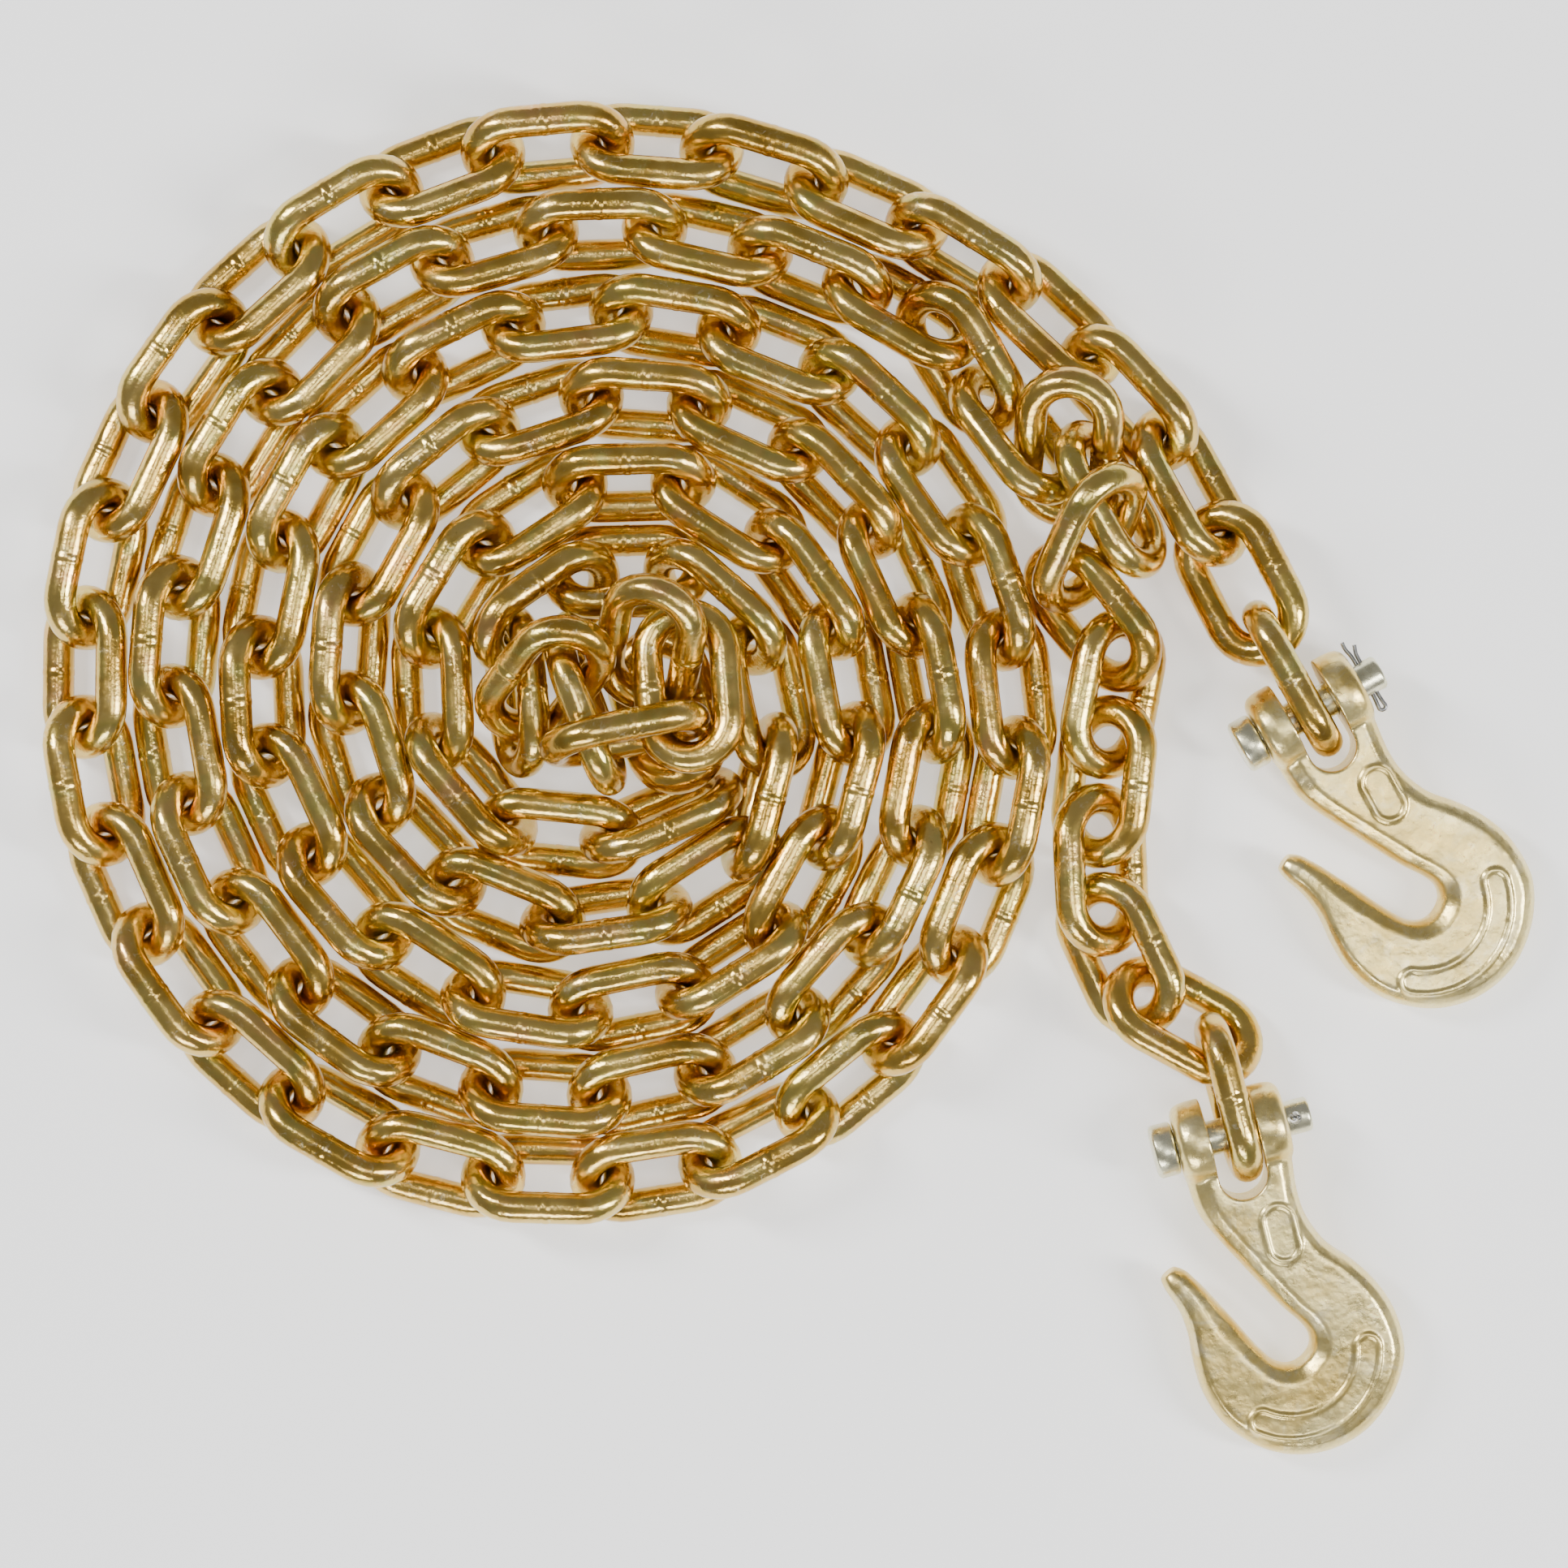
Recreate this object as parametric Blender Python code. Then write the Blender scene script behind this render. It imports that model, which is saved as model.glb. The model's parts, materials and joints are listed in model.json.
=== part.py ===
"""Load binder chain: welded oval links in a flat double coil, with a clevis grab hook on each end."""

import math

import bmesh
import bpy
import numpy as np
from mathutils import Matrix, Vector

MM = 0.001

# Driving dimensions, in metres.
WIRE = 0.010
INSIDE_LENGTH = 0.034
INSIDE_WIDTH = 0.014
CROWN = (INSIDE_WIDTH + WIRE) / 2
HALF_LEG = (INSIDE_LENGTH - INSIDE_WIDTH) / 2
PITCH = INSIDE_LENGTH - 0.0006
LINK_SIDES = 6
LINK_CORNER = 0.0048
CROWN_STEPS = 4
PEG_RADIUS = 0.002

# The coil: two strands side by side on one spiral, seen from above.
COIL_OUTER = (-0.063, 0.023)
COIL_INNER = (-0.051, 0.028)
COIL_SQUASH = 0.96
COIL_RADIUS = 0.179
COIL_PITCH = 0.052
COIL_FROM = 50.0
INNER_RADIUS = 0.035
LEAN = 47.0
LINK_HEIGHT = 13.8
FLOOR = WIRE / 2
SHIFT = (-0.72, -1.66, -0.2)

# Links laid by hand: x, y and z of the centre in mm, then heading, rise and lean in degrees.
TAIL_A = [
    (53.0, 160.6, 14.0, -33, 0, 47),
    (80.7, 142.5, 14.0, -39, 0, -47),
    (104.7, 119.1, 14.0, -50, 0, 47),
    (123.5, 91.3, 14.0, -60, 0, -45),
    (139.7, 61.8, 14.4, -62, 0, 52),
    (155.4, 32.3, 17.2, -61, 0, 95),
]
TAIL_B = [
    (40.5, 147.5, 14.0, -36, 0, -47),
    (55.0, 132.0, 18.0, -58, 5, 50),
    (71.9, 109.7, 18.0, -50, 12, -50),
    (86.5, 106.0, 30.0, -90, -25, 0),
    (98.0, 85.6, 22.0, -52, -18, -50),
    (92.2, 75.8, 30.0, -112, -15, -42),
    (97.0, 52.0, 17.0, -46, -12, 30),
]
LEAD_B = [
    (96.6, 28.5, 13.0, -90, 0, -32),
    (96.6, 1.0, 13.0, -90, 0, 32),
    (97.0, -26.1, 13.0, -86, 0, -34),
    (103.0, -52.5, 13.0, -68, 0, 33),
    (119.2, -74.8, 13.5, -50, 0, -40),
    (135.8, -96.0, 17.2, -75.6, 0, 88),
]
FOLD = [
    (-83.0, 27.0, 17.0, -75, 5, 85),
    (-71.0, 31.0, 29.0, 90, 38, 0),
    (-65.0, 19.0, 28.0, -72, -12, 90),
    (-43.0, 11.0, 27.0, 10, -14, 40),
    (-30.0, 29.0, 30.0, 85, 12, 0),
    (-45.0, 36.5, 34.0, -105, -40, 0),
    (-33.0, 16.0, 13.0, -70, 8, 35),
]

# The grab hook, in mm: u runs along the pin towards its split pin, w from the pin down to the bow.
PIN_RADIUS = 5.4
PIN_HEAD_RADIUS = 8.35
PIN_HEAD = 7.2
PIN_END = 24.9
EAR_FACE = 17.25
EAR_RADIUS = 13.0
HOLE_RADIUS = 5.7
SLOT_HALF = 7.5
SLOT_CENTRE = 12.5
BODY_HALF = 7.5
INNER_BEVEL = 6.0
OUTER_BEVEL = 4.5
PAD_HEIGHT = 0.6
COTTER_AT = 20.0
COTTER_EYE = 1.65
COTTER_WIRE = 0.8
# inner edge u, w, outer edge u, w, half thickness, from the ears round to the tip
HOOK_STATIONS = [
    (-16.8, 3.0, 16.6, 3.0, 7.5),
    (-17.0, 11.0, 16.4, 11.0, 7.5),
    (-15.8, 22.0, 15.4, 22.0, 7.5),
    (-11.5, 31.5, 16.2, 30.5, 7.5),
    (-6.5, 40.8, 20.0, 39.5, 7.5),
    (-2.0, 49.0, 26.5, 47.0, 7.5),
    (2.0, 56.0, 31.5, 54.5, 7.5),
    (6.2, 62.0, 35.0, 63.0, 7.5),
    (7.8, 66.0, 36.2, 73.0, 7.5),
    (7.2, 69.5, 34.5, 82.0, 7.5),
    (4.8, 72.0, 28.0, 92.0, 7.5),
    (1.5, 73.4, 18.0, 99.8, 7.5),
    (-1.8, 73.0, 6.0, 103.0, 7.5),
    (-4.8, 71.0, -6.0, 101.5, 7.5),
    (-7.2, 67.5, -16.0, 96.0, 7.5),
    (-10.0, 62.5, -24.0, 87.0, 7.4),
    (-13.0, 56.5, -28.0, 76.0, 7.2),
    (-16.5, 50.0, -28.6, 66.0, 6.9),
    (-19.5, 44.5, -28.0, 57.0, 6.4),
    (-22.0, 40.5, -29.0, 49.0, 5.8),
    (-24.0, 37.7, -31.5, 42.0, 5.0),
    (-27.0, 35.6, -32.1, 38.2, 3.4),
]
PAD_UPPER = (7.0, 32.7, 5.4, 4.0)
PAD_LOWER = (1.3, 69.3, 23.4, 4.2, 10.0, 127.0)

# x, y, z of the pin centre in mm, turn about Z, pitch about the pin, cotter turn, in degrees
HOOK_A = (160.74, 22.68, 16.4, 29.0, 4.95, 0.0)
HOOK_B = (136.70, -107.12, 16.4, 14.4, 4.95, 90.0)


def spiral_point(turn_deg, radius_in):
    """A point on the squashed spiral whose centre drifts as it winds in."""
    radius = radius_in - COIL_PITCH * turn_deg / 360
    share = radius / COIL_RADIUS
    angle = math.radians(COIL_FROM + turn_deg)
    cx = COIL_INNER[0] + (COIL_OUTER[0] - COIL_INNER[0]) * share
    cy = COIL_INNER[1] + (COIL_OUTER[1] - COIL_INNER[1]) * share
    return np.array([cx + COIL_SQUASH * radius * math.cos(angle), cy + radius * math.sin(angle)])


def strand(first, radius_in, lean_sign):
    """Links one pitch apart along the spiral, from the outer end in, leaning left and right by turns."""
    turn = 0.0
    prev = np.array(first)
    while np.linalg.norm(spiral_point(turn, radius_in) - prev) < PITCH or turn < 2:
        turn += 0.05
        if np.linalg.norm(spiral_point(turn, radius_in) - prev) >= PITCH and turn > 0.0:
            break
    out = []
    while radius_in - COIL_PITCH * turn / 360 > INNER_RADIUS:
        p = spiral_point(turn, radius_in)
        out.append(p)
        prev = p
        while np.linalg.norm(spiral_point(turn, radius_in) - prev) < PITCH:
            turn += 0.05
    out = np.array(out)
    ends = np.vstack([[first], out, [2 * out[-1] - out[-2]]])
    way = ends[:-2] - ends[2:]
    heading = np.degrees(np.arctan2(way[:, 1], way[:, 0]))
    links = []
    for p, h in zip(out, heading):
        links.append((p[0] * 1000, p[1] * 1000, LINK_HEIGHT, h, 0, lean_sign * LEAN))
        lean_sign = -lean_sign
    return links


def frames_of(links):
    """Centres, long axes and side axes of the links."""
    a = np.array(links, float)
    h, p, r = np.radians(a[:, 3]), np.radians(a[:, 4]), np.radians(a[:, 5])
    t = np.stack([np.cos(p) * np.cos(h), np.cos(p) * np.sin(h), np.sin(p)], 1)
    n = np.stack([-np.sin(h), np.cos(h), 0 * h], 1)
    u = np.cross(t, n)
    s = np.cos(r)[:, None] * n + np.sin(r)[:, None] * u
    return a[:, :3] * MM, t, s


def outline(count):
    """Points round a link's centreline: x along it, y across it."""
    whole = 4 * HALF_LEG + 2 * math.pi * CROWN
    d = (np.arange(count) + 0.5) / count * whole
    half = whole / 2
    e = d % half
    a = np.clip((e - 2 * HALF_LEG) / CROWN, 0, math.pi)
    x = np.where(e < 2 * HALF_LEG, e - HALF_LEG, HALF_LEG + CROWN * np.sin(a))
    y = np.where(e < 2 * HALF_LEG, CROWN, CROWN * np.cos(a))
    flip = np.where(d < half, 1.0, -1.0)
    return x * flip, y * flip


def settle(c, t, s, free, rounds=300, count=36, gap=0.0006, pull=0.02, drop=0.00004):
    """Lets the links push each other clear and rest on the floor, one small step at a time."""
    x, y = outline(count)
    local = np.stack([x, y], 1)
    c, t, s = c.copy(), t.copy(), s.copy()
    c0 = c.copy()
    inertia = 3.2e-4
    for k in range(rounds):
        if k % 20 == 0:
            d = np.linalg.norm(c[:, None] - c[None], axis=2)
            i, j = np.nonzero(np.triu(d < 0.066, 1))
            keep = free[i] + free[j] > 0
            i, j = i[keep], j[keep]
        p = c[:, None] + local[None, :, :1] * t[:, None] + local[None, :, 1:] * s[:, None]
        a, b = p[i], p[j]
        dd = (a * a).sum(2)[:, :, None] + (b * b).sum(2)[:, None] - 2 * np.einsum("pik,pjk->pij", a, b)
        flat = dd.reshape(len(i), -1).argmin(1)
        rows = np.arange(len(i))
        pa, pb = a[rows, flat // count], b[rows, flat % count]
        n = pa - pb
        dist = np.linalg.norm(n, axis=1)
        n = n / np.maximum(dist, 1e-6)[:, None]
        lack = np.clip(WIRE + gap - dist, 0, 0.002)
        move, spin, hits = np.zeros_like(c), np.zeros_like(c), np.zeros(len(c))
        for who, q, sign, other in ((i, pa, 1.0, j), (j, pb, -1.0, i)):
            share = free[who] / np.maximum(free[who] + free[other], 1e-9)
            push = (sign * lack * share)[:, None] * n
            arm = q - c[who]
            np.add.at(move, who, push)
            np.add.at(spin, who, np.cross(arm, push) / (inertia + (arm * arm).sum(1))[:, None])
            np.add.at(hits, who, (lack > 0) * 1.0)
        soft = 1 / np.maximum(1, 0.6 * hits)[:, None]
        low = p[:, :, 2].argmin(1)
        every = np.arange(len(c))
        depth = np.clip(FLOOR - p[every, low, 2], 0, None)
        c = c + free[:, None] * soft * move * 0.9
        w = soft * spin * 0.9
        c[:, 2] += free * depth * 0.7
        arm = p[every, low] - c
        up = np.zeros_like(c)
        up[:, 2] = depth * 0.5
        w = w + free[:, None] * np.cross(arm, up) / (inertia + (arm * arm).sum(1))[:, None]
        fade = pull * (1 - k / rounds)
        c += (free * fade)[:, None] * (c0 - c)
        if k < rounds * 0.85:
            c[:, 2] -= free * drop
        t = t + np.cross(w, t)
        s = s + np.cross(w, s)
        t /= np.linalg.norm(t, axis=1)[:, None]
        s -= (s * t).sum(1)[:, None] * t
        s /= np.linalg.norm(s, axis=1)[:, None]
    return c, t, s


def laid_links():
    """Every link's centre and axes, and the groups they fall in."""
    a = strand(np.array(TAIL_A[0][:2]) * MM, COIL_RADIUS, -1)[::-1]
    b = strand(np.array(TAIL_B[0][:2]) * MM, COIL_RADIUS - COIL_PITCH / 2, 1)[::-1]
    links = a + TAIL_A + b + TAIL_B + LEAD_B + FOLD
    free = np.ones(len(links))
    free[len(a) + len(TAIL_A) - 1] = 0
    free[len(links) - len(FOLD) - 1] = 0
    c, t, s = settle(*frames_of(links), free)
    start_b = len(a) + len(TAIL_A)
    start_tail_b = start_b + len(b)
    start_lead = start_tail_b + len(TAIL_B)
    groups = {
        "coil_a": list(range(0, len(a) + 1)),
        "tail_a": list(range(len(a) + 1, start_b)),
        "coil_b": list(range(start_b, start_tail_b + 3)),
        "pile": list(range(start_tail_b + 3, start_lead)),
        "lead_b": list(range(start_lead, start_lead + len(LEAD_B))),
        "fold": list(range(start_lead + len(LEAD_B), len(links))),
    }
    return c + np.array(SHIFT) * MM, t, s, groups


def collection(name, hidden):
    made = bpy.data.collections.new(name)
    made.hide_render = hidden
    bpy.context.scene.collection.children.link(made)
    return made


def material(name, colour, metallic, roughness):
    made = bpy.data.materials.new(name)
    made.use_nodes = True
    shader = made.node_tree.nodes["Principled BSDF"]
    shader.inputs["Base Color"].default_value = (*colour, 1.0)
    shader.inputs["Metallic"].default_value = metallic
    shader.inputs["Roughness"].default_value = roughness
    made.diffuse_color = (*colour, 1.0)
    return made


def add(name, mesh, where, matrix, mat=None):
    obj = bpy.data.objects.new(name, mesh)
    where.objects.link(obj)
    obj.matrix_world = matrix
    if mat is not None:
        obj.data.materials.clear()
        obj.data.materials.append(mat)
    if where.hide_render:
        obj.hide_render = True
        obj.display_type = "WIRE"
    return obj


def combine(obj, other, operation):
    step = obj.modifiers.new(other.name, "BOOLEAN")
    step.operation = operation
    step.solver = "EXACT"
    step.object = other
    step.show_render = True


def mesh_from(bm, name):
    bmesh.ops.recalc_face_normals(bm, faces=bm.faces)
    mesh = bpy.data.meshes.new(name)
    bm.to_mesh(mesh)
    bm.free()
    return mesh


def link_mesh():
    """One oval ring: a six-sided section spun round each crown and drawn along each leg."""
    bm = bmesh.new()
    turn = Matrix.Rotation(math.radians(90), 4, "Y") @ Matrix.Rotation(math.radians(0), 4, "Z")
    start = Matrix.Translation((HALF_LEG, CROWN, 0)) @ turn
    made = bmesh.ops.create_circle(bm, segments=LINK_SIDES, radius=LINK_CORNER, matrix=start)
    edges = list({e for v in made["verts"] for e in v.link_edges})
    for side in (1, -1):
        spun = bmesh.ops.spin(
            bm,
            geom=edges,
            cent=(side * HALF_LEG, 0, 0),
            axis=(0, 0, 1),
            angle=-math.pi,
            steps=CROWN_STEPS,
        )
        edges = [g for g in spun["geom_last"] if isinstance(g, bmesh.types.BMEdge)]
        drawn = bmesh.ops.extrude_edge_only(bm, edges=edges)
        verts = [g for g in drawn["geom"] if isinstance(g, bmesh.types.BMVert)]
        bmesh.ops.translate(bm, verts=verts, vec=(-side * 2 * HALF_LEG, 0, 0))
        edges = [g for g in drawn["geom"] if isinstance(g, bmesh.types.BMEdge)]
    bmesh.ops.remove_doubles(bm, verts=bm.verts, dist=1e-6)
    return mesh_from(bm, "link")


def link_matrix(c, t, s):
    turn = Matrix((t, s, np.cross(t, s))).transposed().to_4x4()
    return Matrix.Translation(c) @ turn


def nearest(c, t, s, a, b):
    """The two centreline points where links a and b come closest."""
    x, y = outline(72)
    pa = c[a] + x[:, None] * t[a] + y[:, None] * s[a]
    pb = c[b] + x[:, None] * t[b] + y[:, None] * s[b]
    d = np.linalg.norm(pa[:, None] - pb[None], axis=2)
    i, j = np.unravel_index(d.argmin(), d.shape)
    return Vector(pa[i]), Vector(pb[j])


def peg(name, start, end, where):
    """A short hidden peg that holds two links of one run together."""
    way = end - start
    depth = way.length - 0.005
    bm = bmesh.new()
    bmesh.ops.create_cone(
        bm, cap_ends=True, segments=3, radius1=PEG_RADIUS, radius2=PEG_RADIUS, depth=depth
    )
    turn = way.to_track_quat("Z", "Y").to_matrix().to_4x4()
    return add(name, mesh_from(bm, name), where, Matrix.Translation((start + end) / 2) @ turn)


def runs_of(indices, length):
    """Cuts a strand into runs, the last one taking what is left over."""
    count = len(indices) // length
    cut = [indices[k * length : (k + 1) * length] for k in range(count)]
    cut[-1] = cut[-1] + indices[count * length :]
    return cut


def loft(rings):
    """A closed body through rings of matching points, capped at both ends."""
    bm = bmesh.new()
    laid = [[bm.verts.new(Vector(p) * MM) for p in ring] for ring in rings]
    for one, two in zip(laid[:-1], laid[1:]):
        for k in range(len(one)):
            n = (k + 1) % len(one)
            bm.faces.new((one[k], one[n], two[n], two[k]))
    bm.faces.new(laid[0])
    bm.faces.new(laid[-1])
    bmesh.ops.triangulate(bm, faces=bm.faces)
    return bm


def blade_ring(station):
    """Section of the forged hook: flat faces, wide bevels and drafted sides."""
    iu, iw, ou, ow, half = station
    inner, outer = Vector((iu, -iw, 0)), Vector((ou, -ow, 0))
    across = (outer - inner).normalized()
    width = (outer - inner).length
    bevel_in = min(INNER_BEVEL, 0.3 * width)
    bevel_out = min(OUTER_BEVEL, 0.3 * width)
    ring = []
    for z in (0.0, 0.5, 1.0):
        inset = bevel_in * (0.0, 0.15, 1.0)[int(2 * z)]
        ring.append(inner + across * inset + Vector((0, 0, z * half)))
    for z in (1.0, 0.5, 0.0, -0.5, -1.0):
        inset = bevel_out * (0.0, 0.15, 1.0)[int(2 * abs(z))]
        ring.append(outer - across * inset + Vector((0, 0, z * half)))
    for z in (-1.0, -0.5):
        inset = bevel_in * (0.0, 0.15, 1.0)[int(2 * abs(z))]
        ring.append(inner + across * inset + Vector((0, 0, z * half)))
    return ring


def turned(profile, sides, phase=0.0):
    """A body turned about the pin axis from (u, radius) steps."""
    rings = []
    for u, r in profile:
        steps = [2 * math.pi * (k + phase) / sides for k in range(sides)]
        rings.append([(u, r * math.cos(a), r * math.sin(a)) for a in steps])
    return loft(rings)


def prism(points, low, high):
    """A flat shape in the hook's plane drawn from low to high."""
    return loft([[(u, -w, z) for u, w in points] for z in (low, high)])


def slot_points():
    arc = [math.pi * k / 8 for k in range(9)]
    bottom = [(SLOT_HALF * math.cos(a), SLOT_CENTRE + SLOT_HALF * math.sin(a)) for a in arc]
    return [(SLOT_HALF, -30.0)] + bottom + [(-SLOT_HALF, -30.0)]


def upper_pad_points():
    u, w, radius, half = PAD_UPPER
    top = [math.pi * (1 + k / 5) for k in range(6)]
    low = [math.pi * k / 5 for k in range(6)]
    return [(u + radius * math.cos(a), w - half + radius * math.sin(a)) for a in top] + [
        (u + radius * math.cos(a), w + half + radius * math.sin(a)) for a in low
    ]


def lower_pad_points():
    u, w, mid, half, start, stop = PAD_LOWER
    sweep = [math.radians(start + (stop - start) * k / 8) for k in range(9)]
    outer = [(u + (mid + half) * math.cos(a), w + (mid + half) * math.sin(a)) for a in sweep]
    inner = [(u + (mid - half) * math.cos(a), w + (mid - half) * math.sin(a)) for a in sweep]
    last = math.radians(stop + 8)
    first = math.radians(start - 8)
    end = [(u + mid * math.cos(last), w + mid * math.sin(last))]
    begin = [(u + mid * math.cos(first), w + mid * math.sin(first))]
    return outer + end + inner[::-1] + begin


def hook(name, matrix, where, helpers, mat):
    blade = mesh_from(loft([blade_ring(s) for s in HOOK_STATIONS]), name)
    obj = add(name, blade, where, matrix, mat)
    ears = [
        (-EAR_FACE, 10.2),
        (-EAR_FACE + 1.6, 12.4),
        (-EAR_FACE + 4.5, EAR_RADIUS),
        (EAR_FACE - 4.5, EAR_RADIUS),
        (EAR_FACE - 1.6, 12.4),
        (EAR_FACE, 10.2),
    ]
    top = BODY_HALF + PAD_HEIGHT
    steps = [
        ("ears", turned(ears, 16, 0.5), "UNION"),
        ("upper_pad", prism(upper_pad_points(), 4.0, top), "UNION"),
        ("lower_pad", prism(lower_pad_points(), 4.0, top), "UNION"),
        ("slot", prism(slot_points(), -20.0, 20.0), "DIFFERENCE"),
        ("hole", turned([(-30.0, HOLE_RADIUS), (30.0, HOLE_RADIUS)], 16), "DIFFERENCE"),
    ]
    for label, bm, operation in steps:
        other = add(name + "_" + label, mesh_from(bm, label), helpers, matrix)
        combine(obj, other, operation)
    return obj


def clevis_pin(name, matrix, cotter_turn, where, helpers, mat):
    head = -EAR_FACE - 0.35
    profile = [
        (head - PIN_HEAD, PIN_HEAD_RADIUS - 0.9),
        (head - PIN_HEAD + 0.9, PIN_HEAD_RADIUS),
        (head - 0.7, PIN_HEAD_RADIUS),
        (head, PIN_HEAD_RADIUS - 0.7),
        (head, PIN_RADIUS),
        (PIN_END - 0.8, PIN_RADIUS),
        (PIN_END, PIN_RADIUS - 0.8),
    ]
    obj = add(name, mesh_from(turned(profile, 16), name), where, matrix, mat)
    drill = Matrix.Translation((COTTER_AT * MM, 0, 0)) @ Matrix.Rotation(math.radians(90), 4, "X")
    bm = bmesh.new()
    bmesh.ops.create_cone(
        bm, cap_ends=True, segments=10, radius1=0.00195, radius2=0.00195, depth=0.03
    )
    turn = Matrix.Rotation(math.radians(cotter_turn), 4, "X")
    hole = add(name + "_hole", mesh_from(bm, "hole"), helpers, matrix @ turn @ drill)
    combine(obj, hole, "DIFFERENCE")
    return obj


def cotter_path(spread):
    """Centreline of the split pin: one leg, round the eye, and back along the other leg."""
    left = [(-2.6, 13.2), (-1.9, 10.4), (-0.87, 7.0)] if spread else [(-0.87, 7.2)]
    right = [(0.87, 7.0), (1.5, 9.2), (2.4, 11.4)] if spread else [(0.87, 6.9)]
    turns = [math.radians(a) for a in range(135, 406, 30)]
    eye = [(COTTER_EYE * math.cos(a), -9.0 + COTTER_EYE * math.sin(a)) for a in turns]
    return left + [(-0.87, -6.6)] + eye + [(0.87, -6.6)] + right


def cotter_pin(name, matrix, cotter_turn, spread, where, mat):
    path = [Vector((COTTER_AT + x, y, 0)) for x, y in cotter_path(spread)]
    rings = []
    for k, p in enumerate(path):
        way = (path[min(k + 1, len(path) - 1)] - path[max(k - 1, 0)]).normalized()
        side = Vector((-way.y, way.x, 0))
        up = Vector((0, 0, 1))
        steps = [2 * math.pi * (m + 0.5) / 6 for m in range(6)]
        rings.append([p + COTTER_WIRE * (math.cos(a) * side + math.sin(a) * up) for a in steps])
    turn = Matrix.Rotation(math.radians(cotter_turn), 4, "X")
    return add(name, mesh_from(loft(rings), name), where, matrix @ turn, mat)


def hook_matrix(place):
    x, y, z, turn, pitch, _ = place
    spot = (np.array((x, y, z)) + np.array(SHIFT)) * MM
    level = Matrix.Translation(spot) @ Matrix.Rotation(math.radians(turn), 4, "Z")
    return level, level @ Matrix.Rotation(math.radians(pitch), 4, "X")


def hang(child, parent):
    """Parents child to parent without moving it."""
    bpy.context.view_layer.update()
    child.parent = parent
    child.matrix_parent_inverse = parent.matrix_world.inverted()


def main():
    for obj in list(bpy.data.objects):
        bpy.data.objects.remove(obj)
    where = collection("load_binder_chain", False)
    helpers = collection("joiners_and_cutters", True)
    gold = material("chain_zinc", (0.72, 0.50, 0.16), 1.0, 0.25)
    forged = material("hook_zinc", (0.80, 0.70, 0.45), 1.0, 0.38)
    silver = material("pin_zinc", (0.80, 0.80, 0.68), 1.0, 0.3)
    steel = material("cotter_steel", (0.6, 0.6, 0.6), 1.0, 0.3)
    c, t, s, groups = laid_links()
    ring = link_mesh()
    for prefix, length in (("coil_a", 3), ("coil_b", 3)):
        for number, run in enumerate(runs_of(groups[prefix], length), 1):
            name = f"{prefix}_{number:02d}"
            obj = add(name, ring.copy(), where, link_matrix(c[run[0]], t[run[0]], s[run[0]]), gold)
            for one, two in zip(run[:-1], run[1:]):
                matrix = link_matrix(c[two], t[two], s[two])
                combine(obj, peg(f"{name}_peg_{two}", *nearest(c, t, s, one, two), helpers), "UNION")
                combine(obj, add(f"{name}_link_{two}", ring, helpers, matrix), "UNION")
    for prefix in ("fold", "pile", "tail_a", "lead_b"):
        parent = None
        before = {"tail_a": groups["coil_a"][-1], "lead_b": groups["pile"][-1]}.get(prefix)
        for number, k in enumerate(groups[prefix], 1):
            matrix = link_matrix(c[k], t[k], s[k])
            obj = add(f"{prefix}_link_{number}", ring.copy(), where, matrix, gold)
            if before is None:
                continue
            pivot = bpy.data.objects.new(f"pivot_{prefix}_{number}", None)
            where.objects.link(pivot)
            pivot.matrix_world = Matrix.Translation(c[before] + (HALF_LEG + CROWN) * t[before])
            if parent is not None:
                hang(pivot, parent)
            hang(obj, pivot)
            parent, before = obj, k
    for letter, place in (("a", HOOK_A), ("b", HOOK_B)):
        level, pitched = hook_matrix(place)
        hooked = hook(f"hook_{letter}", pitched, where, helpers, forged)
        pin = clevis_pin(f"clevis_pin_{letter}", level, place[5], where, helpers, silver)
        split = cotter_pin(f"cotter_pin_{letter}", level, place[5], letter == "a", where, steel)
        hang(pin, hooked)
        hang(split, pin)


main()
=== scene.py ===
"""Looks of the load binder chain: welded links, forged grab hooks, headed pins, split pins."""

import json
import math

import bmesh
import bpy
import numpy as np
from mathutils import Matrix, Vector


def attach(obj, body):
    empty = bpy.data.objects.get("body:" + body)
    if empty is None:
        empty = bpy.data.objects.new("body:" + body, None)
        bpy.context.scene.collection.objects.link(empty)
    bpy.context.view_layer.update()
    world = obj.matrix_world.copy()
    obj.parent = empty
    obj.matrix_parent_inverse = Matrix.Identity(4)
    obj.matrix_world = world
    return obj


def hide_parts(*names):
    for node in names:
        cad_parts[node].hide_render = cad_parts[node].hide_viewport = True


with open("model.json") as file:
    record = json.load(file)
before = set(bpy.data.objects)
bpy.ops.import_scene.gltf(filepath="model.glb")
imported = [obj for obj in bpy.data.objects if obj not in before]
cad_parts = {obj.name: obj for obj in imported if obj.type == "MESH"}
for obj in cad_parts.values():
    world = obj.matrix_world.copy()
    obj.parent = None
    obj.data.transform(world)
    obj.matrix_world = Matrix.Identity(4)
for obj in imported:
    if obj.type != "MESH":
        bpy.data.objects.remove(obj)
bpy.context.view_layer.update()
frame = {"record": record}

# Link, in metres
WIRE = 0.010
INSIDE_LENGTH = 0.034
INSIDE_WIDTH = 0.014
CROWN = (INSIDE_WIDTH + WIRE) / 2
HALF_LEG = (INSIDE_LENGTH - INSIDE_WIDTH) / 2
PITCH = INSIDE_LENGTH - 0.0006

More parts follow.
